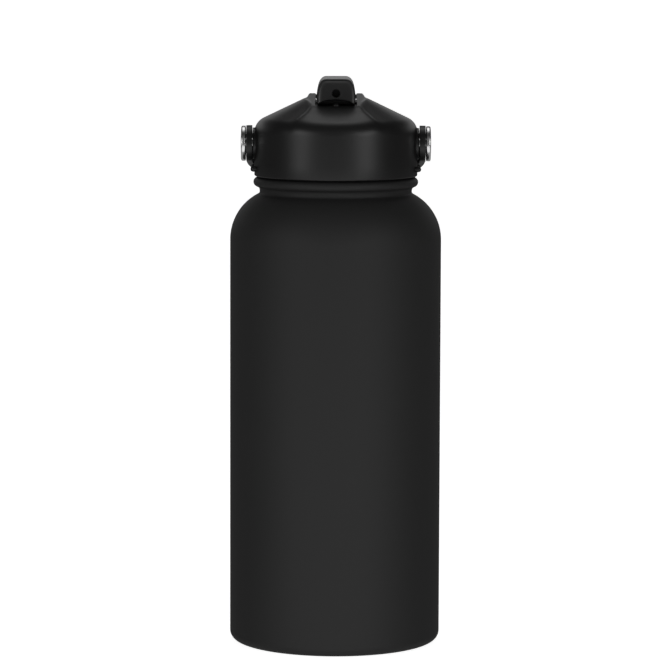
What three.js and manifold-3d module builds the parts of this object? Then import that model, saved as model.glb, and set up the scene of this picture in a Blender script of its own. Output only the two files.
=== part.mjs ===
// A vacuum-insulated growler: a double-walled steel bottle with a wide mouth, a screw-in lid with a
// flip-up drinking spout and straw, and a bail handle that swings over the lid.
// Millimetres, +Z up. The origin is at the centre of the base, the spout's tip faces -Y,
// and the handle's pivots lie along X.
import * as THREE from "three";
import { mergeVertices } from "three/addons/utils/BufferGeometryUtils.js";
import Module from "manifold-3d";

// ---- driving dimensions --------------------------------------------------------------------------
const SIDES = 40; // facets round the large turned pieces
const SMALL_SIDES = 20; // facets round the small ones
const FIRST_CORNER = 0.07; // radians, so that no hole's corner lies on another piece's edge
const GAP = 0.3; // clearance between pieces that touch

const BODY_R = 45.5;
const SHEET = 0.5; // wall of both steel shells
const BASE_CORNER_R = 4.1;
const BASE_RING_R = 38.5; // inner edge of the ring that the bottle stands on
const SHOULDER_Z = 174.7; // height where the straight side ends
const SHOULDER_R = 22;
const SHOULDER_TURN = 63; // degrees of shoulder arc before the neck groove
const GROOVE_R = 32.8;
const GROOVE_FILLET = 1.26;
const BEAD_R = 2;
const BEAD_Z = 199.5;
const BEAD_CENTRE_R = 33.5;
const LIP_R = 32;
const LIP_TOP = 207.1;

const VACUUM_GAP = 3;
const LINER_R = BODY_R - SHEET - VACUUM_GAP;
const LINER_BASE_Z = 6;
const LINER_CORNER_R = 8;
const LINER_NECK_R = 30.1;
const BORE_R = LINER_NECK_R - SHEET; // the mouth that the lid's plug screws into

const THREAD_PITCH = 4;
const THREAD_START = 4; // degrees round from +X
const THREAD_STEPS = 30; // straight stretches in one turn
const THREAD_Z = 191;
const FEMALE_CREST_R = 28.6;
const MALE_CREST_R = 28.1; // inside the female crest, so that a straight lift stays clear

const SKIRT_R = 35.1;
const SKIRT_WALL = 2.2;
const SKIRT_BOTTOM = 202.1;
const ROOF_SLOPE = 25.7; // degrees
const ROOF_FILLET = 7;
const ROOF_AT = new THREE.Vector2(30.2, 227.5); // a point that the sloping roof passes through
const CEILING_Z = 224.4;

const PAD_HALF = 12.1; // half the width of the raised bridge that the spout lies in
const PAD_BEVEL = 1.2;
const PAD_FRONT = new THREE.Vector2(-17, 233); // y and z of the bridge's front edge
const PAD_BACK = new THREE.Vector2(14.8, 237);
const TRENCH_HALF = 8.9;
const TRENCH_FLOOR = 232.9;
const TRENCH_BACK = 14.2;
const HUB_POCKET_FLOOR = 228.4;

const SPOUT_HALF = 8.3;
const SPOUT_BOTTOM = 233.4;
const SPOUT_TOP = 245;
const SPOUT_TIP_Y = -17.2;
const HUB = new THREE.Vector2(9, 233.4); // y and z of the spout's pivot
const HUB_R = 4.6;
const DRINK_R = 2;
const DRINK_Z = 238.2; // height of the drinking hole in the spout's tip
const STUB_R = 1.5;
const STUB_HOLE_END = 11.2;

const PLUG_R = 27.2;
const PLUG_WALL = 2.2;
const PLUG_BOTTOM = 189;
const FLANGE_R = 32.5;
const FLANGE_Z = 210.1;
const STRAW_Y = HUB.x; // the straw hangs straight under the spout's pivot
const STRAW_R = 3.8;
const STRAW_BORE_R = 2.7;
const STRAW_BOTTOM = 10.5;
const STEM_R = 4.2;
const STEM_SHOULDER_Z = 186;
const VENT_Y = -12;

const PIVOT_Z = 216;
const STRAP_IN = 36; // inner face of the handle's arms, from the middle
const STRAP_OUT = 38.5;
const STRAP_HALF = 6; // half the strap's width
const EYE_R = 7.8; // round end of each arm
const ARM = 7.2; // straight length of each arm before the bow
const REST_DROP = 18; // degrees that the resting handle hangs below level, towards the back
const SHANK_R = 2.3;
const BUSH_R = 3.6;
const DISC_R = 7.6;
const DISC_X = 38.8;
const DISC_THICK = 2;
const LUG_R = 1.2;

// ---- helpers -------------------------------------------------------------------------------------
const wasm = await Module();
wasm.setup();

const rad = THREE.MathUtils.degToRad;
const v2 = (x, y) => new THREE.Vector2(x, y);

// A closed geometry as a solid that can be joined and cut.
function solid(geometry) {
  const bare = new THREE.BufferGeometry();
  const source = geometry.index ? geometry.toNonIndexed() : geometry;
  bare.setAttribute("position", source.getAttribute("position").clone());
  const merged = mergeVertices(bare, 1e-4);
  const triVerts = new Uint32Array(merged.index.array);
  const vertProperties = merged.attributes.position.array;
  return new wasm.Manifold(new wasm.Mesh({ numProp: 3, vertProperties, triVerts }));
}

// A solid's surface as a geometry.
function surface(made) {
  const mesh = made.getMesh();
  const geometry = new THREE.BufferGeometry();
  geometry.setAttribute("position", new THREE.BufferAttribute(mesh.vertProperties, 3));
  geometry.setIndex(new THREE.BufferAttribute(mesh.triVerts, 1));
  return geometry.toNonIndexed();
}

// Points on an arc, from one angle to another in degrees, with both ends.
function arc(x, y, r, from, to, steps) {
  const points = [];
  for (let i = 0; i <= steps; i += 1) {
    const a = rad(from + ((to - from) * i) / steps);
    points.push(v2(x + r * Math.cos(a), y + r * Math.sin(a)));
  }
  return points;
}

// A profile of radius and height, turned about Z. A closed outline or one that ends on the axis.
function turned(points, sides = SIDES) {
  const upward = THREE.ShapeUtils.area(points) > 0 ? points : [...points].reverse();
  const closed = points.every((p) => p.x > 0) ? [...upward, upward[0]] : upward;
  return new THREE.LatheGeometry(closed, sides).rotateX(Math.PI / 2);
}

// A tube or ring about Z.
function ring(inner, outer, low, high, sides = SIDES) {
  return turned([v2(inner, low), v2(outer, low), v2(outer, high), v2(inner, high)], sides);
}

// A cylinder along Z, X or Y through a point.
function rod(axis, r, length, centre, sides = SMALL_SIDES) {
  const geometry = new THREE.CylinderGeometry(r, r, length, sides).rotateY(FIRST_CORNER);
  if (axis === "x") geometry.rotateZ(Math.PI / 2);
  if (axis === "z") geometry.rotateX(Math.PI / 2);
  return geometry.translate(centre[0], centre[1], centre[2]);
}

function block(low, high) {
  const size = high.map((value, i) => value - low[i]);
  const centre = high.map((value, i) => (value + low[i]) / 2);
  return new THREE.BoxGeometry(...size).translate(...centre);
}

// An outline in Y and Z, pushed out along X to both sides of the middle, with rounded side edges.
function acrossX(outline, half, bevel = 0) {
  const geometry = new THREE.ExtrudeGeometry(outline, {
    depth: 2 * (half - bevel),
    bevelEnabled: bevel > 0,
    bevelSize: bevel,
    bevelThickness: bevel,
    bevelOffset: -bevel,
    bevelSegments: 2,
    curveSegments: 8,
  });
  geometry.translate(0, 0, bevel - half);
  return geometry.rotateY(Math.PI / 2).rotateX(Math.PI / 2);
}

// A thread ridge: a short section pushed along and then wound into a helix about Z.
// Its foot is at footR, inside the wall that it stands on, and its crest at crestR.
function thread(footR, crestR, lowZ, turns) {
  const section = new THREE.Shape([
    v2(footR, -1),
    v2(crestR, -0.35),
    v2(crestR, 0.35),
    v2(footR, 1),
  ]);
  const steps = Math.round(turns * THREAD_STEPS);
  const geometry = new THREE.ExtrudeGeometry(section, { depth: 1, steps, bevelEnabled: false });
  const places = geometry.getAttribute("position");
  for (let i = 0; i < places.count; i += 1) {
    const along = 1 - places.getZ(i);
    const r = places.getX(i);
    const a = 2 * Math.PI * turns * along + rad(THREAD_START);
    const z = lowZ + THREAD_PITCH * turns * along + places.getY(i);
    places.setXYZ(i, r * Math.cos(a), r * Math.sin(a), z);
  }
  return geometry;
}

const finish = (color, roughness, metalness = 0) =>
  new THREE.MeshStandardMaterial({ color, roughness, metalness });
const POWDER_COAT = [0x262626, 0.75];
const LID_PLASTIC = [0x1b1b1b, 0.42];
const BRUSHED_STEEL = [0xb9babb, 0.35, 1];
const POLISHED_STEEL = [0xdcdddd, 0.12, 1];
const SILICONE = [0x2c2c2e, 0.7];

const growler = new THREE.Group();

function add(name, geometry, look) {
  const mesh = new THREE.Mesh(geometry, finish(...look));
  mesh.name = name;
  growler.add(mesh);
}

// ---- the bottle ----------------------------------------------------------------------------------
const shoulderX = BODY_R - SHOULDER_R;

// The outer skin of the bottle from the base ring up to the lip.
function outerProfile() {
  const end = arc(shoulderX, SHOULDER_Z, SHOULDER_R, 0, SHOULDER_TURN, 1)[1];
  const filletX = GROOVE_R + GROOVE_FILLET;
  const filletZ = end.y + GROOVE_FILLET * Math.sin(rad(SHOULDER_TURN));
  return [
    v2(BASE_RING_R, 0),
    ...arc(BODY_R - BASE_CORNER_R, BASE_CORNER_R, BASE_CORNER_R, -90, 0, 4),
    ...arc(shoulderX, SHOULDER_Z, SHOULDER_R, 0, SHOULDER_TURN, 7),
    ...arc(filletX, filletZ, GROOVE_FILLET, 180 + SHOULDER_TURN, 180, 2).slice(1),
    v2(GROOVE_R, 196.4),
    ...arc(BEAD_CENTRE_R, BEAD_Z, BEAD_R, -80, 75, 5),
    v2(LIP_R, 201.6),
    v2(LIP_R, LIP_TOP - 1.5),
  ];
}

function outerShell() {
  const inside = [
    v2(LIP_R - SHEET, LIP_TOP - 1.5),
    v2(LIP_R - SHEET, 201.6),
    ...arc(BEAD_CENTRE_R, BEAD_Z, BEAD_R - SHEET, 70, -70, 4),
    v2(GROOVE_R - SHEET, 196.6),
    v2(GROOVE_R - SHEET, 195.1),
    ...arc(shoulderX, SHOULDER_Z, SHOULDER_R - SHEET, SHOULDER_TURN, 0, 6),
    ...arc(BODY_R - BASE_CORNER_R, BASE_CORNER_R, BASE_CORNER_R - SHEET, 0, -90, 3),
    v2(BASE_RING_R, SHEET),
  ];
  return turned([...outerProfile(), ...inside]);
}

function innerLiner() {
  const floor = LINER_BASE_Z;
  const cornerX = LINER_R - LINER_CORNER_R;
  const cornerZ = floor + LINER_CORNER_R;
  const domeR = SHOULDER_R - SHEET - VACUUM_GAP;
  const domeZ = SHOULDER_Z - 2;
  const neckTurn = THREE.MathUtils.radToDeg(Math.acos((LINER_NECK_R - shoulderX) / domeR));
  const boreTurn = THREE.MathUtils.radToDeg(Math.acos((BORE_R - shoulderX) / (domeR - SHEET)));
  const cup = turned([
    v2(0, floor),
    ...arc(cornerX, cornerZ, LINER_CORNER_R, -90, 0, 4),
    ...arc(shoulderX, domeZ, domeR, 0, neckTurn, 5),
    v2(LINER_NECK_R, LIP_TOP - 1.2),
    v2(LIP_R, LIP_TOP - 1.2),
    v2(LIP_R, LIP_TOP - 0.4),
    v2(LIP_R - 0.6, LIP_TOP),
    v2(BORE_R + 0.6, LIP_TOP),
    v2(BORE_R, LIP_TOP - 0.6),
    ...arc(shoulderX, domeZ, domeR - SHEET, boreTurn, 0, 5),
    ...arc(cornerX, cornerZ, LINER_CORNER_R - SHEET, 0, -90, 4),
    v2(0, floor + SHEET),
  ]);
  const ridge = thread(BORE_R + SHEET / 2, FEMALE_CREST_R, THREAD_Z, 2.3);
  return surface(solid(cup).add(solid(ridge)));
}

// The welded bottom: a dished disc with a small evacuation hole in the middle.
function basePlate() {
  return turned([
    v2(1.5, 2.8),
    v2(12, 2.8),
    v2(14, 1.6),
    v2(35, 1.6),
    v2(36.5, 0.9),
    v2(BASE_RING_R - GAP, 0.9),
    v2(BASE_RING_R - GAP, 3.2),
    v2(36, 3.2),
    v2(34.5, 2.7),
    v2(14.5, 2.7),
    v2(12.5, 3.9),
    v2(1.5, 3.9),
  ]);
}

add("outer_shell", outerShell(), POWDER_COAT);
add("inner_liner", innerLiner(), BRUSHED_STEEL);
add("base_plate", basePlate(), BRUSHED_STEEL);
add(
  "vacuum_seal",
  turned([v2(0, 1.4), v2(4, 1.4), v2(4.4, 2.4), v2(1.2, 2.4), v2(1.2, 3.7), v2(0, 3.7)], SMALL_SIDES),
  [0x8f9193, 0.5, 1],
);
add("getter", rod("z", 6, 1.2, [0, 22, 5]), [0x6d6f72, 0.6, 1]);

// ---- the lid -------------------------------------------------------------------------------------
// The roof's slope meets the skirt in a fillet that touches both.
const filletX = SKIRT_R - ROOF_FILLET;
const filletTurn = 90 - ROOF_SLOPE;
const touchX = filletX + ROOF_FILLET * Math.cos(rad(filletTurn));
const touchZ = ROOF_AT.y + (ROOF_AT.x - touchX) * Math.tan(rad(ROOF_SLOPE));
const filletZ = touchZ - ROOF_FILLET * Math.sin(rad(filletTurn));
const roofZ = (r) => ROOF_AT.y + (ROOF_AT.x - r) * Math.tan(rad(ROOF_SLOPE));

function lidCap() {
  const inner = SKIRT_R - SKIRT_WALL;
  return turned([
    v2(0, CEILING_Z),
    v2(inner - 4, CEILING_Z),
    v2(inner, CEILING_Z - 4),
    v2(inner, SKIRT_BOTTOM),
    v2(SKIRT_R - 0.5, SKIRT_BOTTOM),
    v2(SKIRT_R, SKIRT_BOTTOM + 0.5),
    ...arc(filletX, filletZ, ROOF_FILLET, 0, filletTurn, 6),
    v2(14, roofZ(14)),
    v2(0, roofZ(14) + 0.9),
  ]);
}

// The raised bridge along the middle of the roof, with its apron running down to the front.
function bridge() {
  const outline = new THREE.Shape([
    v2(-30.5, 225.6),
    v2(22, 225.6),
    v2(21.5, 231),
    v2(18, 236),
    v2(PAD_BACK.x, PAD_BACK.y),
    v2(PAD_FRONT.x, PAD_FRONT.y),
  ]);
  return acrossX(outline, PAD_HALF, PAD_BEVEL);
}

// What is cut out above the bridge, so that its sloping top is flat between the roof's shoulders.
function abovePad() {
  const top = PAD_BACK.y + 6;
  const outline = new THREE.Shape([
    v2(PAD_FRONT.x, PAD_FRONT.y),
    v2(PAD_BACK.x, PAD_BACK.y),
    v2(PAD_BACK.x, top),
    v2(PAD_FRONT.x, top),
  ]);
  return acrossX(outline, PAD_HALF - 0.2);
}

// The trench that the spout lies in, with a deeper pocket for its round hub.
function trench() {
  const high = PAD_BACK.y + 8;
  const outline = new THREE.Shape([
    v2(-24, TRENCH_FLOOR),
    v2(3.2, TRENCH_FLOOR),
    v2(3.9, TRENCH_FLOOR - 0.8),
    v2(3.9, HUB_POCKET_FLOOR),
    v2(TRENCH_BACK, HUB_POCKET_FLOOR),
    v2(TRENCH_BACK, 232.9),
    v2(20.5, 240.1), // the raised spout leans back along this slope
    v2(20.5, high),
    v2(-24, high),
  ]);
  return acrossX(outline, TRENCH_HALF);
}

function lidShell() {
  let lid = solid(lidCap()).add(solid(bridge())).subtract(solid(abovePad()));
  for (const side of [-1, 1]) {
    // Outside each pivot is a flat round land, and inside is a boss for the rivet's shank.
    const landEnd = STRAP_IN - GAP;
    const bossStart = 29.6;
    lid = lid.add(solid(rod("x", 6.8, landEnd - 33, [(side * (landEnd + 33)) / 2, 0, PIVOT_Z])));
    lid = lid.add(solid(rod("x", 4.6, 34 - bossStart, [(side * (34 + bossStart)) / 2, 0, PIVOT_Z])));
    for (const end of [-1, 1]) lid = lid.add(solid(stopLug(side, end)));
    lid = lid.subtract(solid(rod("x", SHANK_R + GAP, 16, [side * 33, 0, PIVOT_Z])));
  }
  lid = lid.subtract(solid(trench()));
  lid = lid.subtract(solid(rod("x", STUB_R + GAP, 2 * STUB_HOLE_END, [0, HUB.x, HUB.y])));
  lid = lid.subtract(solid(rod("z", 4.9, 2.1, [0, STRAW_Y, HUB_POCKET_FLOOR - 1.04])));
  return surface(lid.subtract(solid(rod("z", 2.3, 12, [0, STRAW_Y, CEILING_Z]))));
}

// A short lug on the skirt that stops the handle's arm, at the back or at the front.
function stopLug(side, end) {
  const drop = rad(REST_DROP);
  const out = 11;
  const below = STRAP_HALF + 0.35 + LUG_R;
  const y = end * (out * Math.cos(drop) - below * Math.sin(drop));
  const z = PIVOT_Z - out * Math.sin(drop) - below * Math.cos(drop);
  return rod("x", LUG_R, 3.4, [side * 34.9, y, z], 16);
}

function lidPlug() {
  const inner = PLUG_R - PLUG_WALL;
  const cup = turned([
    v2(0, PLUG_BOTTOM),
    v2(PLUG_R - 0.8, PLUG_BOTTOM),
    v2(PLUG_R, PLUG_BOTTOM + 0.8),
    v2(PLUG_R, 203.1),
    v2(PLUG_R - 1.2, 203.1),
    v2(PLUG_R - 1.2, 205.7),
    v2(PLUG_R, 205.7),
    v2(PLUG_R, FLANGE_Z),
    v2(FLANGE_R, FLANGE_Z),
    v2(FLANGE_R, FLANGE_Z + 1.2),
    v2(inner, FLANGE_Z + 1.2),
    v2(inner, PLUG_BOTTOM + 2.2),
    v2(0, PLUG_BOTTOM + 2.2),
  ]);
  return surface(
    solid(cup)
      .add(solid(thread(PLUG_R - 0.9, MALE_CREST_R, THREAD_Z + THREAD_PITCH / 2, 1.9)))
      .subtract(solid(rod("z", STEM_R + GAP, 8, [0, STRAW_Y, PLUG_BOTTOM + 1])))
      .subtract(solid(rod("z", 2, 8, [0, VENT_Y, PLUG_BOTTOM + 1]))),
  );
}

function lidFoam() {
  const disc = rod("z", PLUG_R - PLUG_WALL - 0.4, 27.7, [0, 0, 207.85], SIDES);
  const hole = rod("z", STEM_R + 0.4, 40, [0, STRAW_Y, 207]);
  return surface(solid(disc).subtract(solid(hole)));
}

// The flip-up spout: a rounded arch in section, cut to its side view, with a straight drinking bore.
function spoutBody() {
  const arch = new THREE.Shape();
  arch.moveTo(-SPOUT_HALF, SPOUT_BOTTOM - 6);
  arch.lineTo(SPOUT_HALF, SPOUT_BOTTOM - 6);
  arch.lineTo(SPOUT_HALF, 238);
  arch.bezierCurveTo(7.9, 241, 7.3, SPOUT_TOP, 4, SPOUT_TOP);
  arch.lineTo(-4, SPOUT_TOP);
  arch.bezierCurveTo(-7.3, SPOUT_TOP, -7.9, 241, -SPOUT_HALF, 238);
  const long = new THREE.ExtrudeGeometry(arch, { depth: 40, bevelEnabled: false, curveSegments: 7 });
  long.rotateX(Math.PI / 2).translate(0, 18, 0);

  const side = new THREE.Shape();
  side.moveTo(SPOUT_TIP_Y, SPOUT_BOTTOM);
  side.lineTo(4.4, SPOUT_BOTTOM);
  side.absarc(HUB.x, HUB.y, HUB_R, Math.PI, 2.45 * Math.PI, false);
  side.lineTo(2.5, 244.2);
  side.quadraticCurveTo(1.6, SPOUT_TOP, 0.5, SPOUT_TOP);
  side.lineTo(-14.6, 244.4);
  side.quadraticCurveTo(-16.3, 244.2, -16.5, 242.6);
  const profile = acrossX(side, SPOUT_HALF + 2);

  let spout = solid(long).intersect(solid(profile));
  const from = new THREE.Vector3(0, SPOUT_TIP_Y - 2, DRINK_Z);
  const to = new THREE.Vector3(0, HUB.x + HUB_R, HUB.y);
  const length = from.distanceTo(to) + 6;
  const bore = new THREE.CylinderGeometry(DRINK_R, DRINK_R, length, SMALL_SIDES);
  bore.rotateX(Math.atan2(to.z - from.z, to.y - from.y));
  bore.translate(0, (from.y + to.y) / 2, (from.z + to.z) / 2);
  spout = spout.subtract(solid(bore));
  // The finger notch under the tip.
  const notch = new THREE.CylinderGeometry(1, 1, 3, SMALL_SIDES).scale(7.4, 1, 2.4);
  spout = spout.subtract(solid(notch.translate(0, SPOUT_TIP_Y, SPOUT_BOTTOM - 0.05)));
  for (const end of [-1, 1]) {
    spout = spout.subtract(solid(rod("x", STUB_R + GAP, 8, [end * 8.8, HUB.x, HUB.y])));
  }
  return surface(spout);
}

function strawStem() {
  return turned(
    [
      v2(2.3, CEILING_Z - GAP),
      v2(6.5, CEILING_Z - GAP),
      v2(6.5, CEILING_Z - 2.4),
      v2(STEM_R, CEILING_Z - 2.4),
      v2(STEM_R, STEM_SHOULDER_Z),
      v2(2.4, STEM_SHOULDER_Z),
      v2(2.4, 175),
      v2(1.7, 174),
      v2(1.5, 174),
      v2(1.5, STEM_SHOULDER_Z + 2),
      v2(2.3, STEM_SHOULDER_Z + 3),
    ],
    SMALL_SIDES,
  ).translate(0, STRAW_Y, 0);
}

function ventValve() {
  return turned(
    [
      v2(0, 187.2),
      v2(4.5, 188.1),
      v2(4.5, 188.7),
      v2(1.6, 188.7),
      v2(1.6, 191.5),
      v2(2.5, 191.6),
      v2(0.8, 193.6),
      v2(0, 193.6),
    ],
    SMALL_SIDES,
  ).translate(0, VENT_Y, 0);
}

add("lid_shell", lidShell(), LID_PLASTIC);
add("lid_plug", lidPlug(), LID_PLASTIC);
add("lid_foam", lidFoam(), [0xe4e0d6, 0.95]);
// The gasket lies on the lip and is wide enough inside for the plug's seal to pass.
add("mouth_gasket", ring(29.3, LIP_R, LIP_TOP + GAP, FLANGE_Z - GAP), SILICONE);
add(
  "plug_seal",
  turned([v2(26.3, 203.4), v2(28.2, 203.4), v2(29.1, 204.4), v2(28.2, 205.4), v2(26.3, 205.4)]),
  SILICONE,
);
add("spout", spoutBody(), LID_PLASTIC);
add("spout_seal", ring(2.4, 4.6, 226.7, 228.1, SMALL_SIDES).translate(0, STRAW_Y, 0), SILICONE);
add("straw_stem", strawStem(), LID_PLASTIC);
const straw = ring(STRAW_BORE_R, STRAW_R, STRAW_BOTTOM, STEM_SHOULDER_Z - 0.5, SMALL_SIDES);
add("straw", straw.translate(0, STRAW_Y, 0), [0xd8dadb, 0.3]);
add("vent_valve", ventValve(), SILICONE);

// ---- the handle ----------------------------------------------------------------------------------
// The bail is a flat strap bent into a U, with a round eye at the end of each arm.
function bail() {
  const bow = new THREE.Shape();
  bow.moveTo(STRAP_OUT, 0);
  bow.lineTo(STRAP_OUT, ARM);
  bow.absarc(0, ARM, STRAP_OUT, 0, Math.PI, false);
  bow.lineTo(-STRAP_OUT, 0);
  bow.lineTo(-STRAP_IN, 0);
  bow.lineTo(-STRAP_IN, ARM);
  bow.absarc(0, ARM, STRAP_IN, Math.PI, 0, true);
  bow.lineTo(STRAP_IN, 0);
  const strap = new THREE.ExtrudeGeometry(bow, {
    depth: 2 * STRAP_HALF,
    bevelEnabled: false,
    curveSegments: 28,
  }).translate(0, 0, -STRAP_HALF);
  const thick = STRAP_OUT - STRAP_IN;
  const middle = (STRAP_OUT + STRAP_IN) / 2;
  let handle = solid(strap);
  for (const side of [-1, 1]) {
    handle = handle.add(solid(rod("x", EYE_R, thick, [side * middle, 0, 0])));
    handle = handle.subtract(solid(rod("x", BUSH_R + GAP, 6, [side * middle, 0, 0])));
  }
  return surface(handle).rotateX(-rad(REST_DROP)).translate(0, 0, PIVOT_Z);
}

// The rivet is a shank in the lid's boss with a broad polished disc for a head.
function rivet(side) {
  const headEnd = DISC_X + DISC_THICK;
  const profile = [
    v2(0, 30.4),
    v2(SHANK_R, 30.4),
    v2(SHANK_R, DISC_X),
    v2(DISC_R - 0.4, DISC_X),
    v2(DISC_R, DISC_X + 0.4),
    v2(DISC_R, headEnd - 0.9),
    v2(DISC_R - 0.6, headEnd - 0.2),
    v2(DISC_R - 1.6, headEnd),
    v2(DISC_R - 2.4, headEnd - 0.5),
    v2(0, headEnd - 0.3),
  ];
  const made = turned(profile, 28).rotateY((side * Math.PI) / 2);
  return made.translate(0, 0, PIVOT_Z);
}

add("handle", bail(), LID_PLASTIC);
for (const [word, side] of [["left", -1], ["right", 1]]) {
  const middle = (side * (STRAP_IN + STRAP_OUT)) / 2;
  const bush = ring(SHANK_R + GAP, BUSH_R, -1.2, 1.2, SMALL_SIDES).rotateY(Math.PI / 2);
  add(`handle_rivet_${word}`, rivet(side), POLISHED_STEEL);
  add(`handle_bush_${word}`, bush.translate(middle, 0, PIVOT_Z), [0x303133, 0.5]);
  add(`spout_stub_${word}`, rod("x", STUB_R, 5.4, [side * 8.2, HUB.x, HUB.y]), POLISHED_STEEL);
}

export default growler;
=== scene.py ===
# %% [markdown]
# # A growler in cells
#
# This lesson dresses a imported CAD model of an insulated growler: a double-walled steel bottle with
# a powder-coated skin, a screw-in lid with a flip-up spout, and a bail handle on two polished
# rivets. The CAD model is the frame. It says where every piece is and how it moves, and it is
# faceted, so each piece that shows is modelled again here with smooth surfaces and a finish.
#
# Lengths in this script are in millimetres until a mesh is made, because that is how a maker would
# measure the pieces. Blender's own unit is the metre.

# %% Load the frame
import math

import bpy
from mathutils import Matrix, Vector


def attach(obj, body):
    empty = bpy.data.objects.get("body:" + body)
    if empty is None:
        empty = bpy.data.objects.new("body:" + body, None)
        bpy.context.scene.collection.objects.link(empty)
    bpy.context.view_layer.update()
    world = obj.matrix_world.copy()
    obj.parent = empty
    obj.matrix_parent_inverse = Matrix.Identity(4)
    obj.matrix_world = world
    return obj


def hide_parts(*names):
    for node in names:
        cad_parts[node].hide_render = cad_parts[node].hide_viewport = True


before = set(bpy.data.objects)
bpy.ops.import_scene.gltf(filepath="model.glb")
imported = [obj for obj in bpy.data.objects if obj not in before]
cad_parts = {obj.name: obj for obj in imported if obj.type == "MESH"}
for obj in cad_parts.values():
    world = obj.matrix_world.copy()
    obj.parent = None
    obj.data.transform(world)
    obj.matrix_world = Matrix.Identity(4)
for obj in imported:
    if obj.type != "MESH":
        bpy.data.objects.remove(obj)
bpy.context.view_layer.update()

MM = 0.001

# %% [markdown]
# ## Tools of the bench
#
# Nearly every piece of a bottle is turned, so the main tool is a lathe. By hand one would add a
# single vertex, extrude it along the outline, and spin the outline about the Z axis. `turned` does
# the same with the same operators. The outline could also be a curve with a Screw modifier, but the
# spin leaves a plain mesh that booleans can cut.

# %% Selecting and finishing a mesh
def only(obj):
    """Selects one object alone and makes it active."""
    bpy.ops.object.select_all(action="DESELECT")
    obj.select_set(True)
    bpy.context.view_layer.objects.active = obj


def edit(obj):
    only(obj)
    bpy.ops.object.mode_set(mode="EDIT")
    bpy.ops.mesh.select_all(action="SELECT")


def close_up(obj, merge=2e-6):
    """Merges the doubles, turns the faces outwards and goes back to object mode."""
    edit(obj)
    bpy.ops.mesh.remove_doubles(threshold=merge)
    bpy.ops.mesh.normals_make_consistent(inside=False)
    bpy.ops.object.mode_set(mode="OBJECT")
    return obj


def smooth(obj, degrees=32):
    """Smooth shading, with edges sharper than the angle kept crisp."""
    only(obj)
    bpy.ops.object.shade_smooth_by_angle(angle=math.radians(degrees))
    return obj


def settle(obj, location=(0, 0, 0), rotation=(0, 0, 0)):
    """Turns and moves a piece, then writes its place into its mesh."""
    only(obj)
    obj.rotation_euler = rotation
    obj.location = [value * MM for value in location]
    bpy.ops.object.transform_apply(location=True, rotation=True, scale=True)
    return obj


# %% The lathe
def turned(name, outline, steps=144):
    """A solid of revolution about Z, from an outline of (radius, height) in millimetres."""
    points = [Vector((radius * MM, 0, height * MM)) for radius, height in outline]
    if outline[0][0] > 0:
        points.append(points[0])
    bpy.ops.object.select_all(action="DESELECT")
    bpy.ops.mesh.primitive_plane_add(size=MM, location=(0, 0, 0))
    obj = bpy.context.object
    obj.name = name
    edit(obj)
    bpy.ops.mesh.merge(type="CENTER")
    bpy.ops.transform.translate(value=points[0])
    for here, there in zip(points, points[1:]):
        bpy.ops.mesh.extrude_vertices_move(TRANSFORM_OT_translate={"value": there - here})
    bpy.ops.mesh.select_all(action="SELECT")
    bpy.ops.mesh.remove_doubles(threshold=1e-7)
    bpy.ops.mesh.spin(steps=steps, angle=2 * math.pi, center=(0, 0, 0), axis=(0, 0, 1))
    bpy.ops.object.mode_set(mode="OBJECT")
    return smooth(close_up(obj))


def arc(x, y, radius, start, end, steps):
    """Points on an arc about (x, y), from one angle to another in degrees."""
    angles = [math.radians(start + (end - start) * i / steps) for i in range(steps + 1)]
    return [(x + radius * math.cos(a), y + radius * math.sin(a)) for a in angles]


def rounded(corners, steps=4):
    """An outline of (radius, height, fillet) corners. A fillet of 0 stays sharp."""
    outline = []
    for i, (x, y, fillet) in enumerate(corners):
        here = Vector((x, y))
        if fillet == 0:
            outline.append((x, y))
            continue
        before = Vector(corners[i - 1][:2])
        after = Vector(corners[(i + 1) % len(corners)][:2])
        start = here + (before - here).normalized() * fillet
        end = here + (after - here).normalized() * fillet
        for k in range(steps + 1):
            t = k / steps
            point = (1 - t) ** 2 * start + 2 * t * (1 - t) * here + t * t * end
            outline.append((point.x, point.y))
    return outline


# %% [markdown]
# The second tool wraps a flat grid into a shape. A grid primitive is added, and each of its
# vertices is moved to a place worked out from its two shares `u` and `v`, as in sculpting. It makes
# the spout, the handle's strap and the screw threads, which no lathe can turn. Where the grid's
# edges meet, their doubles are merged.

# %% The wrapped grid
def wrapped(name, around, along, place):
    """A grid of around by along faces, with each vertex moved to place(u, v) in millimetres."""
    bpy.ops.object.select_all(action="DESELECT")
    bpy.ops.mesh.primitive_grid_add(x_subdivisions=around, y_subdivisions=along, size=2)
    obj = bpy.context.object
    obj.name = name
    for vertex in obj.data.vertices:
        u = (vertex.co.x + 1) / 2
        v = (vertex.co.y + 1) / 2
        vertex.co = Vector(place(u, v)) * MM
    return smooth(close_up(obj))


def ease(share):
    """0 to 1 with a soft start and end."""
    share = max(0.0, min(1.0, share))
    return share * share * (3 - 2 * share)


def thread_ridge(name, foot, crest, low, pitch, turns):
    """A helical ridge about Z that runs out to nothing at both ends."""
    section = [(foot, -1.0), (crest, -0.4), (crest, 0.4), (foot, 1.0)]

    def place(u, v):
        side = min(3, int(u * 4 + 0.5)) if u < 0.999 else 0
        radius, rise = section[side]
        run_out = ease(min(v, 1 - v) * 14)
        radius = foot + (radius - foot) * run_out
        angle = 2 * math.pi * turns * v
        height = low + pitch * turns * v + rise * (0.02 + 0.98 * run_out)
        return (radius * math.cos(angle), radius * math.sin(angle), height)

    return wrapped(name, 4, round(96 * turns), place)


# %% [markdown]
# The third tool is the boolean. A cutter or an addition is modelled as an object of its own, a
# Boolean modifier is applied, and the cutter is removed.

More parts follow.
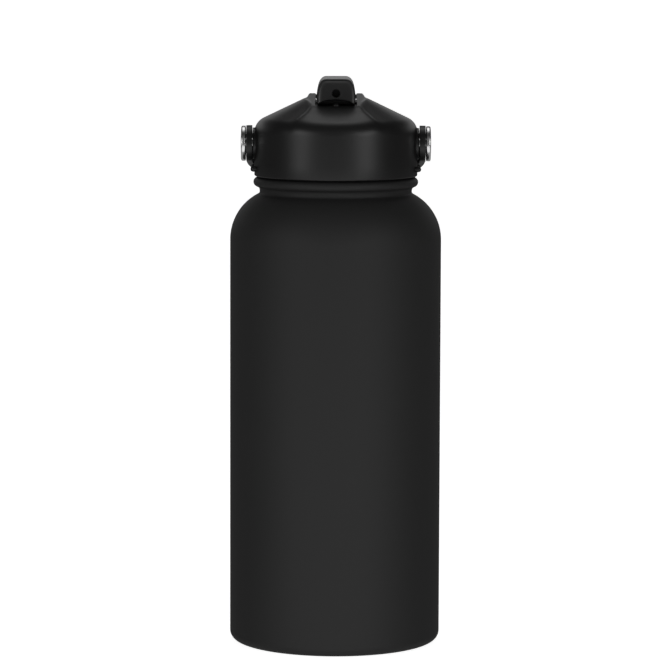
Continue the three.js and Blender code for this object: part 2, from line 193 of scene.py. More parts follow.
# %% Booleans and plain cutters
def combine(obj, other, operation):
    """Cuts other out of obj, or joins it on, and removes other."""
    only(obj)
    modifier = obj.modifiers.new("cut", "BOOLEAN")
    modifier.operation = operation
    modifier.solver = "EXACT"
    modifier.object = other
    bpy.ops.object.modifier_apply(modifier=modifier.name)
    bpy.data.objects.remove(other)
    return obj


def bevelled(obj, width, segments=3, degrees=40):
    """Rounds the edges that are sharper than the angle."""
    only(obj)
    modifier = obj.modifiers.new("edge", "BEVEL")
    modifier.width = width * MM
    modifier.segments = segments
    modifier.limit_method = "ANGLE"
    modifier.angle_limit = math.radians(degrees)
    bpy.ops.object.modifier_apply(modifier=modifier.name)
    return obj


def block(name, low, high, edge=0.0):
    """A box between two corners in millimetres, with its edges rounded."""
    size = [b - a for a, b in zip(low, high)]
    centre = [(a + b) / 2 for a, b in zip(low, high)]
    bpy.ops.object.select_all(action="DESELECT")
    bpy.ops.mesh.primitive_cube_add(size=1)
    obj = bpy.context.object
    obj.name = name
    obj.scale = [side * MM for side in size]
    settle(obj, centre)
    return bevelled(obj, edge) if edge else obj


def peg(name, radius, length, centre, axis="x", edge=0.0, sides=64):
    """A round bar along one axis, with its rims rounded."""
    bpy.ops.object.select_all(action="DESELECT")
    bpy.ops.mesh.primitive_cylinder_add(vertices=sides, radius=radius * MM, depth=length * MM)
    obj = bpy.context.object
    obj.name = name
    if edge:
        bevelled(obj, edge, degrees=60)
    turn = {"x": (0, math.pi / 2, 0), "y": (math.pi / 2, 0, 0), "z": (0, 0, 0)}[axis]
    return smooth(settle(obj, centre, turn))


# %% [markdown]
# ## Finishes
#
# Shader maths reads best as Python. `Wire` wraps one output socket and overloads the operators, so
# `rough + 0.1 * grain` adds its own Math nodes. `Finish` holds one material: `node` adds any other
# node from its type, its settings and its inputs, and `set` fills the shader's own sockets. Every
# pattern reads Object coordinates, so it stays on the piece when the piece moves.

# %% Wires and finishes
class Wire:
    """One socket's value, which can be added, subtracted, multiplied and raised to a power."""

    def __init__(self, bench, socket):
        self.bench = bench
        self.socket = socket

    def maths(self, operation, first, second):
        return self.bench.node("ShaderNodeMath", {"operation": operation}, {0: first, 1: second})

    def __add__(self, other):
        return self.maths("ADD", self, other)

    def __radd__(self, other):
        return self.maths("ADD", other, self)

    def __sub__(self, other):
        return self.maths("SUBTRACT", self, other)

    def __rsub__(self, other):
        return self.maths("SUBTRACT", other, self)

    def __mul__(self, other):
        return self.maths("MULTIPLY", self, other)

    def __rmul__(self, other):
        return self.maths("MULTIPLY", other, self)

    def __pow__(self, other):
        return self.maths("POWER", self, other)


class Bench:
    """A node tree to wire up, of a material or of the world."""

    def __init__(self, tree):
        self.tree = tree

    def node(self, kind, settings=None, inputs=None, output=0):
        """Adds any node: its type, its settings and its inputs. Gives back one of its outputs."""
        made = self.tree.nodes.new(kind)
        for name, value in (settings or {}).items():
            setattr(made, name, value)
        for name, value in (inputs or {}).items():
            self.feed(made.inputs[name], value)
        return Wire(self, made.outputs[output]) if len(made.outputs) else None

    def feed(self, socket, value):
        if isinstance(value, Wire):
            self.tree.links.new(value.socket, socket)
        else:
            socket.default_value = value

    def split(self, vector):
        """The X, Y and Z of a vector."""
        parts = self.node("ShaderNodeSeparateXYZ", None, {0: vector}).socket.node
        return [Wire(self, socket) for socket in parts.outputs]

    def climb(self, value, low, high):
        """A soft step from 0 to 1 as the value goes from low to high."""
        settings = {"interpolation_type": "SMOOTHSTEP"}
        return self.node("ShaderNodeMapRange", settings, {0: value, 1: low, 2: high})


class Finish(Bench):
    """A material whose shader is one Principled BSDF."""

    def __init__(self, name):
        self.material = bpy.data.materials.new(name)
        self.material.use_nodes = True
        super().__init__(self.material.node_tree)
        self.shader = self.tree.nodes["Principled BSDF"]
        self.place = self.node("ShaderNodeTexCoord", output="Object")

    def set(self, **values):
        for name, value in values.items():
            self.feed(self.shader.inputs[name.replace("_", " ")], value)

    def noise(self, scale, detail=2.0, place=None, roughness=0.5):
        """Cloudy noise from 0 to 1, with about scale lumps to the metre."""
        inputs = {"Scale": scale, "Detail": detail, "Roughness": roughness}
        inputs["Vector"] = place or self.place
        return self.node("ShaderNodeTexNoise", None, inputs)

    def between(self, low, high, share):
        """A colour between two colours."""
        inputs = {0: share, 6: (*low, 1), 7: (*high, 1)}
        return self.node("ShaderNodeMix", {"data_type": "RGBA"}, inputs, output=2)

    def relief(self, height, depth, strength=1.0):
        """Bumps from a height of 0 to 1 that stand depth millimetres high."""
        inputs = {"Height": height, "Distance": depth * MM, "Strength": strength}
        self.set(Normal=self.node("ShaderNodeBump", None, inputs))


def grey(value):
    return (value, value, value)


# %% [markdown]
# ### Powder coat
#
# The bottle's skin is a baked powder. Close up it has a very fine orange-peel grain, and under a
# broad light it looks like dry black stone: no mirror image, only a weak sheen. Two noises make it.
# One is the grain, about a third of a millimetre across, and the other is a slow drift that keeps
# the black from looking painted by a computer.

# %% Powder coat
def powder_coat():
    coat = Finish("powder_coat")
    drift = coat.noise(22, 3)
    grain = coat.noise(2600, 3, roughness=0.6)
    peel = coat.noise(900, 1)
    coat.set(Base_Color=coat.between(grey(0.019), grey(0.026), 0.5 * drift + 0.5 * grain))
    coat.set(Roughness=0.56 + 0.10 * grain + 0.05 * drift)
    coat.set(Specular_IOR_Level=0.42)
    coat.relief(0.6 * grain + 0.4 * peel, 0.05, 0.55)
    return coat.material


# %% [markdown]
# ### Moulded plastics
#
# The lid, spout and handle are moulded polypropylene. The tool's steel is lightly spark-eroded, so
# the cap has a satin face, and the spout's tool is polished more, so the spout is glossier. One
# function makes all of them from a base shade, a roughness and a grain depth. The spout's base shade
# is set lighter than the lid's as painted light: it stands in for the light that its tip face catches.

# %% Moulded plastics
def moulded(name, shade, roughness, grain_depth, level=0.5):
    plastic = Finish(name)
    cloud = plastic.noise(60, 2)
    grain = plastic.noise(3400, 2, roughness=0.6)
    plastic.set(Base_Color=plastic.between(grey(shade * 0.85), grey(shade * 1.2), cloud))
    plastic.set(Roughness=roughness - 0.03 + 0.06 * cloud + 0.04 * grain)
    plastic.set(Specular_IOR_Level=level)
    plastic.relief(grain, grain_depth, 0.5)
    return plastic.material


# %% [markdown]
# ### Metals
#
# The liner and the base are spun on a lathe, so their fine lines run round the axis. A noise that
# reads the distance from the axis and the height, and not the angle, draws such rings. The rivet
# heads are tumbled and polished: nearly a mirror, with a faint haze and a few hairlines.

# %% Metals
def spun_steel():
    steel = Finish("spun_steel")
    x, y, z = steel.split(steel.place)
    radius = (x * x + y * y) ** 0.5
    ring_place = steel.node("ShaderNodeCombineXYZ", None, {0: radius, 2: z})
    rings = steel.noise(5200, 2, ring_place, 0.7)
    stain = steel.noise(35, 3)
    steel.set(Base_Color=steel.between((0.50, 0.50, 0.49), (0.66, 0.66, 0.65), stain))
    steel.set(Metallic=1.0, Roughness=0.24 + 0.14 * rings + 0.06 * stain)
    steel.relief(rings, 0.01, 0.5)
    return steel.material


def polished_steel():
    steel = Finish("polished_steel")
    haze = steel.noise(240, 3)
    hairlines = steel.noise(900, 4, steel.node(
        "ShaderNodeMapping", None, {"Vector": steel.place, "Scale": (1, 1, 9)}))
    steel.set(Base_Color=steel.between(grey(0.84), grey(0.93), haze))
    steel.set(Metallic=1.0, Roughness=0.14 + 0.08 * haze + 0.06 * hairlines)
    steel.relief(hairlines, 0.004, 0.4)
    return steel.material


def dull_metal():
    metal = Finish("dull_metal")
    mottle = metal.noise(700, 4)
    metal.set(Base_Color=metal.between(grey(0.16), grey(0.34), mottle))
    metal.set(Metallic=1.0, Roughness=0.45 + 0.25 * mottle)
    metal.relief(mottle, 0.05, 0.6)
    return metal.material


# %% [markdown]
# ### Soft and pale materials
#
# Silicone is dull and slightly dusty, the straw is a milky plastic with draw lines along it, and the
# lid's insulation is a closed-cell foam, whose cells a Voronoi texture draws.

# %% Soft and pale materials
def silicone():
    rubber = Finish("silicone")
    dust = rubber.noise(420, 4)
    rubber.set(Base_Color=rubber.between(grey(0.020), grey(0.034), dust))
    rubber.set(Roughness=0.62 + 0.2 * dust)
    rubber.relief(dust, 0.03, 0.5)
    return rubber.material


def straw_plastic():
    milky = Finish("straw_plastic")
    lines = milky.noise(500, 2, milky.node(
        "ShaderNodeMapping", None, {"Vector": milky.place, "Scale": (6, 6, 0.15)}))
    milky.set(Base_Color=milky.between((0.70, 0.72, 0.72), (0.80, 0.81, 0.81), lines))
    milky.set(Roughness=0.28 + 0.12 * lines)
    milky.set(Subsurface_Weight=0.25, Subsurface_Scale=0.004)
    milky.relief(lines, 0.01, 0.5)
    return milky.material


def foam():
    cells = Finish("foam")
    bubble = cells.node("ShaderNodeTexVoronoi", None, {"Vector": cells.place, "Scale": 900})
    cells.set(Base_Color=cells.between((0.66, 0.62, 0.52), (0.80, 0.77, 0.68), bubble))
    cells.set(Roughness=0.85 + 0.1 * bubble)
    cells.relief(bubble, 0.25, 0.8)
    return cells.material


FINISHES = {
    "powder_coat": powder_coat(),
    "lid_plastic": moulded("lid_plastic", 0.0125, 0.36, 0.012),
    # The spout's shade of 0.020, against the lid's 0.0125, is painted light on its face; its plastic is
    # the same black.
    "spout_plastic": moulded("spout_plastic", 0.020, 0.27, 0.006),
    "handle_plastic": moulded("handle_plastic", 0.0125, 0.36, 0.012),
    "bush_plastic": moulded("bush_plastic", 0.03, 0.45, 0.01),
    "bare_steel": spun_steel(),
    "polished_steel": polished_steel(),
    "seal_metal": dull_metal(),
    "silicone": silicone(),
    "straw_plastic": straw_plastic(),
    "foam": foam(),
}
print(len(FINISHES), "finishes:", ", ".join(FINISHES))


# %% Putting a piece in its place
def fit(obj, slot, body, *nodes):
    """Gives a piece its finish, makes it ride on its body and lets it stand for CAD nodes."""
    obj.data.materials.clear()
    obj.data.materials.append(FINISHES[slot])
    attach(obj, body)
    if nodes:
        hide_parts(*nodes)
    low = [min(v.co[i] for v in obj.data.vertices) / MM for i in range(3)]
    high = [max(v.co[i] for v in obj.data.vertices) / MM for i in range(3)]
    size = [round(b - a, 1) for a, b in zip(low, high)]
    print(f"{obj.name}: {len(obj.data.polygons)} faces, {size} mm, on {body}")
    return obj


# %% [markdown]
# ## The bottle
#
# The outer skin is one spun sheet: a rounded base corner, a straight side, a shoulder that is an arc
# of 22 mm, a tight groove under the neck and a bead above it. The lid stops just over the bead. The
# outline runs up the outside and comes back down the inside, so that the sheet has its real wall.

# %% Dimensions of the bottle
BODY_R = 45.5
SHEET = 0.5
BASE_CORNER = 4.1
BASE_RING_R = 38.5
SHOULDER_Z = 174.7
SHOULDER_R = 22.0
SHOULDER_TURN = 63
GROOVE_R = 32.8
GROOVE_FILLET = 1.26
BEAD_R = 2.0
BEAD_Z = 199.5
BEAD_CENTRE_R = 33.5
LIP_R = 32.0
LIP_TOP = 207.1
BORE_R = 29.6
LINER_R = 42.0
LINER_FLOOR = 6.0
LINER_CORNER = 8.0
THREAD_PITCH = 4.0
THREAD_Z = 191.0
SHOULDER_X = BODY_R - SHOULDER_R

# %% The powder-coated skin
def skin_outline():
    end_x = SHOULDER_X + SHOULDER_R * math.cos(math.radians(SHOULDER_TURN))
    end_z = SHOULDER_Z + SHOULDER_R * math.sin(math.radians(SHOULDER_TURN))
    fillet_x = end_x + GROOVE_FILLET * math.cos(math.radians(SHOULDER_TURN))
    fillet_z = end_z + GROOVE_FILLET * math.sin(math.radians(SHOULDER_TURN))
    corner_x = BODY_R - BASE_CORNER
    outside = [
        (BASE_RING_R, 0),
        *arc(corner_x, BASE_CORNER, BASE_CORNER, -90, 0, 12),
        *[(BODY_R, z) for z in (30, 60, 90, 120, 150)],
        *arc(SHOULDER_X, SHOULDER_Z, SHOULDER_R, 0, SHOULDER_TURN, 28),
        *arc(fillet_x, fillet_z, GROOVE_FILLET, 180 + SHOULDER_TURN, 180, 6)[1:],
        (GROOVE_R, 195.9),
        (GROOVE_R + 0.1, 196.5),
        (GROOVE_R + 0.45, 197.1),
        *arc(BEAD_CENTRE_R, BEAD_Z, BEAD_R, -78, 78, 18),
        (LIP_R + 0.25, 201.6),
        (LIP_R, 202.0),
        (LIP_R, LIP_TOP - 1.5),
    ]
    inside = [
        (LIP_R - SHEET, LIP_TOP - 1.5),
        (LIP_R - SHEET, 201.6),
        *arc(BEAD_CENTRE_R, BEAD_Z, BEAD_R - SHEET, 70, -70, 10),
        (GROOVE_R - SHEET, 196.6),
        (GROOVE_R - SHEET, 195.1),
        *arc(SHOULDER_X, SHOULDER_Z, SHOULDER_R - SHEET, SHOULDER_TURN, 0, 16),
        *arc(corner_x, BASE_CORNER, BASE_CORNER - SHEET, 0, -90, 6),
        (BASE_RING_R, SHEET),
    ]
    return outside + inside


fit(turned("bottle_skin", skin_outline(), 192), "powder_coat", "bottle", "outer_shell")

# %% [markdown]
# The liner is the cup that touches the drink. Its neck carries the rolled thread, and its lip covers
# the edge of the skin. It shows when the lid is off. The base disc is set back from the ring that
# the bottle stands on, with a dimple in the middle for the bead that sealed the vacuum.

# %% The steel liner
def liner_outline():
    corner_x = LINER_R - LINER_CORNER
    corner_z = LINER_FLOOR + LINER_CORNER
    dome = LINER_R - SHOULDER_X
    dome_z = SHOULDER_Z - 2
    neck_turn = math.degrees(math.acos((BORE_R + SHEET - SHOULDER_X) / dome))
    bore_turn = math.degrees(math.acos((BORE_R - SHOULDER_X) / (dome - SHEET)))
    lip = rounded([
        (BORE_R + SHEET, LIP_TOP - 1.2, 0),
        (LIP_R, LIP_TOP - 1.2, 0),
        (LIP_R, LIP_TOP, 0.5),
        (BORE_R, LIP_TOP, 0.8),
    ])
    return [
        (0, LINER_FLOOR),
        *arc(corner_x, corner_z, LINER_CORNER, -90, 0, 10),
        *arc(SHOULDER_X, dome_z, dome, 0, neck_turn, 12),
        *lip,
        *arc(SHOULDER_X, dome_z, dome - SHEET, bore_turn, 0, 12),
        *arc(corner_x, corner_z, LINER_CORNER - SHEET, 0, -90, 10),
        (0, LINER_FLOOR + SHEET),
    ]


liner = turned("steel_liner", liner_outline())
ridge = thread_ridge("neck_ridge", BORE_R + SHEET / 2, 28.6, THREAD_Z, THREAD_PITCH, 2.3)
fit(smooth(combine(liner, ridge, "UNION")), "bare_steel", "bottle", "inner_liner")

# %% The base disc and its seal
base = turned("base_disc", rounded([
    (1.5, 2.8, 0), (12, 2.8, 1.2), (14, 1.6, 1.2), (35, 1.6, 0.8), (36.5, 0.9, 0.6),
    (38.2, 0.9, 0.3), (38.2, 3.2, 0.3), (36, 3.2, 0.6), (34.5, 2.7, 0.6), (14.5, 2.7, 1.0),
    (12.5, 3.9, 1.0), (1.5, 3.9, 0),
]))
fit(base, "bare_steel", "bottle", "base_plate")
seal = turned("vacuum_bead", [
    (0, 1.4), (2.4, 1.45), (3.6, 1.65), (4.2, 2.0), (4.4, 2.4), (1.2, 2.4), (1.2, 3.7), (0, 3.7),
], 64)
fit(seal, "seal_metal", "bottle", "vacuum_seal")

# %% [markdown]
# ## The lid's cap
#
# The cap starts as a turned bell: an upright skirt, a fillet of 7 mm and a roof that rises at 26
# degrees. The spout lies in a bridge that runs from front to back over the roof. It could be a
# second solid joined by a boolean, but the real one flows out of the roof without an edge. So the
# bell's roof has many fine rings, and their vertices are lifted or lowered to the bridge's height,
# with a soft share at its flanks. At the front the bridge runs down into the skirt as a flat apron
# that widens on its way.

# %% Dimensions of the cap
SKIRT_R = 35.1
SKIRT_WALL = 2.2
SKIRT_BOTTOM = 202.1
ROOF_SLOPE = math.radians(25.7)
ROOF_FILLET = 7.0
ROOF_POINT = (30.2, 227.5)
CEILING = 224.4
PAD_FRONT = (-17.0, 233.0)
PAD_BACK = (14.8, 237.0)
PAD_FLAT_HALF = 11.2
APRON_END = -31.0
TRENCH_HALF = 8.9
TRENCH_FLOOR = 232.9
TRENCH_BACK = 14.2
POCKET_FLOOR = 228.4
HUB_Y = 9.0
HUB_Z = 233.4
PIVOT_Z = 216.0
STRAP_IN = 36.0
STRAP_OUT = 38.5
STRAP_HALF = 6.0
REST_DROP = math.radians(18)

FILLET_X = SKIRT_R - ROOF_FILLET
FILLET_TURN = 90 - math.degrees(ROOF_SLOPE)
TOUCH_R = FILLET_X + ROOF_FILLET * math.sin(ROOF_SLOPE)


def cone_z(radius):
    return ROOF_POINT[1] + (ROOF_POINT[0] - radius) * math.tan(ROOF_SLOPE)


FILLET_Z = cone_z(TOUCH_R) - ROOF_FILLET * math.cos(ROOF_SLOPE)


def roof_z(radius):
    """Height of the bell's outside at a radius: fillet, cone, and a soft crown in the middle."""
    if radius > TOUCH_R:
        return FILLET_Z + math.sqrt(max(0.0, ROOF_FILLET**2 - (radius - FILLET_X) ** 2))
    if radius > 14:
        return cone_z(radius)
    return cone_z(14) + 0.9 * (1 - (radius / 14) ** 2)


# %% The bridge over the roof
def soft_least(a, b, width):
    """The smaller of two heights, rounded where they meet."""
    share = max(0.0, min(1.0, 0.5 + 0.5 * (b - a) / width))
    return b + (a - b) * share - width * share * (1 - share)


def bridge_z(y):
    """Height of the bridge along its middle line."""
    rise = (PAD_BACK[1] - PAD_FRONT[1]) / (PAD_BACK[0] - PAD_FRONT[0])
    pad = PAD_FRONT[1] + (y - PAD_FRONT[0]) * rise
    if y < 0:
        ahead = (PAD_FRONT[0] - y) / (PAD_FRONT[0] - APRON_END)
        apron = roof_z(abs(y)) - 0.45 * (1 - ease(ahead))
        return soft_least(pad, apron, 0.5)
    back = PAD_BACK[1] - 0.12 * max(0.0, y - PAD_BACK[0]) ** 2
    return soft_least(pad, back, 0.4)


def bridge_share(x, y):
    """How much of the bridge shows at a point: 1 on its flat, 0 out on the roof."""
    ahead = ease((PAD_FRONT[0] - y) / (PAD_FRONT[0] - APRON_END))
    flat = PAD_FLAT_HALF - 1.6 * ease((2 - y) / 19) + 2.0 * ahead
    flank = 3.0 + 7.0 * ahead
    sides = 1 - ease((abs(x) - flat) / flank)
    back = 1 - ease((y - 20.5) / 3)
    front = 1 - ease((PAD_FRONT[0] - 6 - y) / 11)
    return sides * back * front


def shape_roof(cap):
    """Moves the vertices of the roof's outside to the bridge."""
    for vertex in cap.data.vertices:
        x, y, z = vertex.co / MM
        radius = math.hypot(x, y)
        outside = z > CEILING + 0.2 or radius > FILLET_X + 3.5
        if outside and z > FILLET_Z and abs(z - roof_z(radius)) < 0.01:
            share = bridge_share(x, y)
            vertex.co.z = (z + share * (bridge_z(y) - z)) * MM


def cap_outline():
    inner = SKIRT_R - SKIRT_WALL
    rings = [14 + (TOUCH_R - 14) * i / 40 for i in range(40, 0, -1)]
    crown = [14 * i / 26 for i in range(26, -1, -1)]
    return [
        (0, CEILING),
        (inner - 4, CEILING),
        *arc(inner - 4, CEILING - 4, 4, 90, 0, 6)[1:],
        *arc(inner + 0.4, SKIRT_BOTTOM + 0.4, 0.4, 180, 270, 3),
        *arc(SKIRT_R - 0.6, SKIRT_BOTTOM + 0.6, 0.6, -90, 0, 5),
        (SKIRT_R, 208),
        (SKIRT_R, 214),
        *arc(FILLET_X, FILLET_Z, ROOF_FILLET, 0, FILLET_TURN, 16)[:-1],
        *[(radius, roof_z(radius)) for radius in rings],
        *[(radius, roof_z(radius)) for radius in crown],
    ]


cap = turned("lid_cap", cap_outline(), 240)
shape_roof(cap)
print("cap before cutting:", len(cap.data.vertices), "vertices")

# %% [markdown]
# The cap is then cut and added to: the trench for the spout with a deeper pocket for its hub, the
# port under the pocket, the flat lands that the handle's eyes turn against, the bosses for the
# rivets, and four small lugs that stop the handle's arms at both ends of their swing. The trench's
# back wall slopes, so that the raised spout can lean on it. A little nub on the trench's floor
# clicks under the spout's tip.

# %% Cutting the cap
def add_pivot(cap, side):
    land = STRAP_IN - 0.3
    combine(cap, peg("land", 6.8, land - 33, (side * (land + 33) / 2, 0, PIVOT_Z), edge=0.3), "UNION")
    combine(cap, peg("boss", 4.6, 4.4, (side * 31.8, 0, PIVOT_Z)), "UNION")
    for end in (-1, 1):
        out = 11.0
        lug = 1.2
        below = STRAP_HALF + 0.35 + lug
        y = end * (out * math.cos(REST_DROP) - below * math.sin(REST_DROP))
        z = PIVOT_Z - out * math.sin(REST_DROP) - below * math.cos(REST_DROP)
        combine(cap, peg("lug", lug, 3.4, (side * 34.9, y, z), edge=1.1, sides=40), "UNION")
    combine(cap, peg("shank_hole", 2.6, 16, (side * 33, 0, PIVOT_Z)), "DIFFERENCE")


for side in (-1, 1):
    add_pivot(cap, side)
high = PAD_BACK[1] + 8
combine(cap, block("trench", (-TRENCH_HALF, -24, TRENCH_FLOOR), (TRENCH_HALF, TRENCH_BACK, high), 0.6),
        "DIFFERENCE")
slope = block("slope", (-TRENCH_HALF, -1, 0), (TRENCH_HALF, 14, 12), 0.4)
settle(slope, (0, TRENCH_BACK, TRENCH_FLOOR), (math.radians(48.8), 0, 0))
combine(cap, slope, "DIFFERENCE")
combine(cap, block("pocket", (-TRENCH_HALF, 3.7, POCKET_FLOOR), (TRENCH_HALF, TRENCH_BACK, high), 0.6),
        "DIFFERENCE")
combine(cap, peg("seal_seat", 4.9, 2.1, (0, HUB_Y, POCKET_FLOOR - 1.04), "z"), "DIFFERENCE")
combine(cap, peg("port", 2.3, 12, (0, HUB_Y, CEILING), "z"), "DIFFERENCE")
combine(cap, peg("stub_hole", 1.8, 22.4, (0, HUB_Y, HUB_Z)), "DIFFERENCE")
nub = turned("nub", [(0, TRENCH_FLOOR - 1), (1.5, TRENCH_FLOOR - 1), (1.5, TRENCH_FLOOR + 0.1),
                     (1.2, TRENCH_FLOOR + 0.7), (0.7, TRENCH_FLOOR + 1.1), (0, TRENCH_FLOOR + 1.2)], 32)
combine(cap, settle(nub, (0, -16.0, 0)), "UNION")
fit(smooth(cap, 30), "lid_plastic", "lid", "lid_shell")

# %% [markdown]
# ## Under the lid
#
# The plug is the cup that screws into the neck. It carries the thread, the flange, a flat gasket
# and a round seal, the stem for the straw, and a small umbrella valve that lets air in while one
# drinks. These show when the lid is lifted off.

# %% The plug
PLUG_R = 27.2
PLUG_BOTTOM = 189.0
FLANGE_R = 32.5
FLANGE_Z = 210.1
STEM_R = 4.2
VENT_Y = -12.0

plug = turned("lid_plug_cup", rounded([
    (0, PLUG_BOTTOM, 0), (PLUG_R, PLUG_BOTTOM, 0.9), (PLUG_R, 203.1, 0.2), (PLUG_R - 1.2, 203.1, 0.2),
    (PLUG_R - 1.2, 205.7, 0.2), (PLUG_R, 205.7, 0.2), (PLUG_R, FLANGE_Z, 0), (FLANGE_R, FLANGE_Z, 0.3),
    (FLANGE_R, FLANGE_Z + 1.2, 0.3), (PLUG_R - 2.2, FLANGE_Z + 1.2, 0), (PLUG_R - 2.2, 191.2, 0.6),
    (0, 191.2, 0),
]))
male = thread_ridge("plug_ridge", PLUG_R - 0.4, 28.1, THREAD_Z + THREAD_PITCH / 2, THREAD_PITCH, 1.9)
combine(plug, male, "UNION")
combine(plug, peg("stem_hole", STEM_R + 0.3, 8, (0, HUB_Y, PLUG_BOTTOM + 1), "z"), "DIFFERENCE")
combine(plug, peg("vent_hole", 2.0, 8, (0, VENT_Y, PLUG_BOTTOM + 1), "z"), "DIFFERENCE")
fit(smooth(plug), "lid_plastic", "lid", "lid_plug")

# %% Seals, stem, straw and valve
gasket = turned("mouth_gasket_ring", rounded([
    (29.3, 207.4, 0.3), (LIP_R, 207.4, 0.3), (LIP_R, 209.8, 0.4), (29.3, 209.8, 0.4)]))
fit(gasket, "silicone", "lift_ring", "mouth_gasket")
ring = turned("plug_seal_ring", rounded([
    (26.3, 203.4, 0), (28.2, 203.4, 0.4), (29.1, 204.4, 0.5), (28.2, 205.4, 0.4), (26.3, 205.4, 0)]))
fit(ring, "silicone", "screw_ring", "plug_seal")
hub_seal = turned("hub_seal", rounded([
    (2.4, 226.7, 0.2), (4.6, 226.7, 0.2), (4.6, 228.1, 0.3), (2.4, 228.1, 0.3)]), 64)
fit(settle(hub_seal, (0, HUB_Y, 0)), "silicone", "lid", "spout_seal")
stem = turned("stem", rounded([
    (2.3, 224.1, 0), (6.5, 224.1, 0.3), (6.5, 222.0, 0.3), (STEM_R, 222.0, 0.3), (STEM_R, 186.0, 0.5),
    (2.4, 186.0, 0.2), (2.4, 175.0, 0.3), (1.9, 174.0, 0.2), (1.5, 174.0, 0), (1.5, 188.0, 0),
    (2.3, 189.0, 0)]), 64)
fit(settle(stem, (0, HUB_Y, 0)), "lid_plastic", "lid", "straw_stem")
tube = turned("drinking_straw", rounded([
    (2.7, 10.5, 0.2), (3.8, 10.5, 0.3), (3.8, 185.5, 0.3), (2.7, 185.5, 0.2)]), 64)
fit(settle(tube, (0, HUB_Y, 0)), "straw_plastic", "lid", "straw")
valve = turned("umbrella_valve", rounded([
    (0, 187.2, 0), (4.5, 188.1, 0.25), (4.5, 188.7, 0.2), (1.6, 188.7, 0), (1.6, 191.5, 0),
    (2.5, 191.6, 0.2), (0.8, 193.6, 0.2), (0, 193.6, 0)]), 64)
fit(settle(valve, (0, VENT_Y, 0)), "silicone", "lid", "vent_valve")

# %% [markdown]
# ## The spout
#
# The spout lies forwards in its trench, with its tip towards the front. Seen end-on it is an arch,
# straight at the sides and round over the top. Its tip face is a shallow dish inside a soft rim,
# with the drinking hole low in the dish, and an arched notch under the tip lets a finger lift it.
#
# It is a wrapped grid. `u` goes round the arch and `v` goes from the bottom of the drinking bore out
# to the dish, over the rim, back along the body and round the hub, where it closes.

# %% The spout's stations
SPOUT_HALF = 8.3
SPOUT_BOTTOM = 233.4
TIP_Y = -17.2
DRINK_R = 1.6
DRINK_Z = 238.2
HUB_R = 4.6
SIDE_TOP = 237.5


def top_of_spout(y):
    """Height of the spout's top line: rising a little to the back, then down over the hub."""
    if y < 1.5:
        return 244.4 + 0.6 * ease((y + 15) / 16)
    if y < 7.5:
        fall = (y - 1.5) / 6
        return 245.0 - 7.0 * fall + 0.42 * math.sin(math.pi * fall)
    over = max(-1.0, min(1.0, (y - HUB_Y) / HUB_R))
    return HUB_Z + max(0.05, HUB_R * math.sqrt(max(0.0, 1 - over * over))) + 0.2 * (y < 8.2)


def bottom_of_spout(y):
    if y < HUB_Y - HUB_R:
        return SPOUT_BOTTOM
    over = max(-1.0, min(1.0, (y - HUB_Y) / HUB_R))
    return HUB_Z - max(0.05, HUB_R * math.sqrt(max(0.0, 1 - over * over)))


def power(value, exponent):
    return math.copysign(abs(value) ** exponent, value)


def arch_quarter(share):
    """Half width and rise (0 to 1) of the arch, from its foot (0) to the middle of its top (1)."""
    bend = 0.8
    if share > bend:
        return 4.0 * (1 - share) / (1 - bend), 1.0
    t = share / bend
    weights = ((1 - t) ** 3, 3 * t * (1 - t) ** 2, 3 * t * t * (1 - t), t**3)
    widths = (SPOUT_HALF, 7.9, 7.3, 4.0)
    rises = (0.0, 0.45, 1.0, 1.0)
    side = sum(weight * width for weight, width in zip(weights, widths))
    return side, sum(weight * rise for weight, rise in zip(weights, rises))


def arch_point(angle, y):
    """A point of the spout's section at y: round over the top, square at the bottom."""
    top = top_of_spout(y)
    bottom = bottom_of_spout(y)
    boxy = ease((y - 1) / 7)
    middle = SIDE_TOP + (HUB_Z - SIDE_TOP) * boxy
    middle = min(middle, top - 0.04)
    c, s = math.cos(angle), math.sin(angle)
    if s >= 0:
        side, rise = arch_quarter(math.asin(min(1.0, s)) * 2 / math.pi)
        soft_x = math.copysign(side, c)
        hard_x = SPOUT_HALF * power(c, 0.2)
        hard_rise = power(s, 0.2)
        x = soft_x + (hard_x - soft_x) * boxy
        return x, middle + (top - middle) * (rise + (hard_rise - rise) * boxy)
    return SPOUT_HALF * power(c, 0.2), middle + (middle - bottom) * power(s, 0.2)


# %% [markdown]
# A station is a share of the section and a place along the spout. Shares under 1 lie on the tip's
# face, and the bore is a circle, so the first stations mix a circle with the arch.

# %% Wrapping the spout
BODY_STATIONS = 46
FACE = [
    # how far from circle (0) to arch (1), size, and depth behind the tip
    (0.0, 0.0, 14.0),
    (0.0, 1.0, 14.0),
    (0.0, 1.0, 5.0),
    (0.0, 1.0, 1.1),
    (0.0, 1.15, 0.8),
    (0.35, 1.0, 0.7),
    (0.6, 1.0, 0.6),
    (0.8, 1.0, 0.42),
    (0.86, 1.0, 0.25),
    (0.885, 1.0, 0.1),
    (0.91, 1.0, 0.02),
    (0.945, 1.0, 0.03),
    (0.975, 1.0, 0.28),
    (0.993, 1.0, 0.75),
]


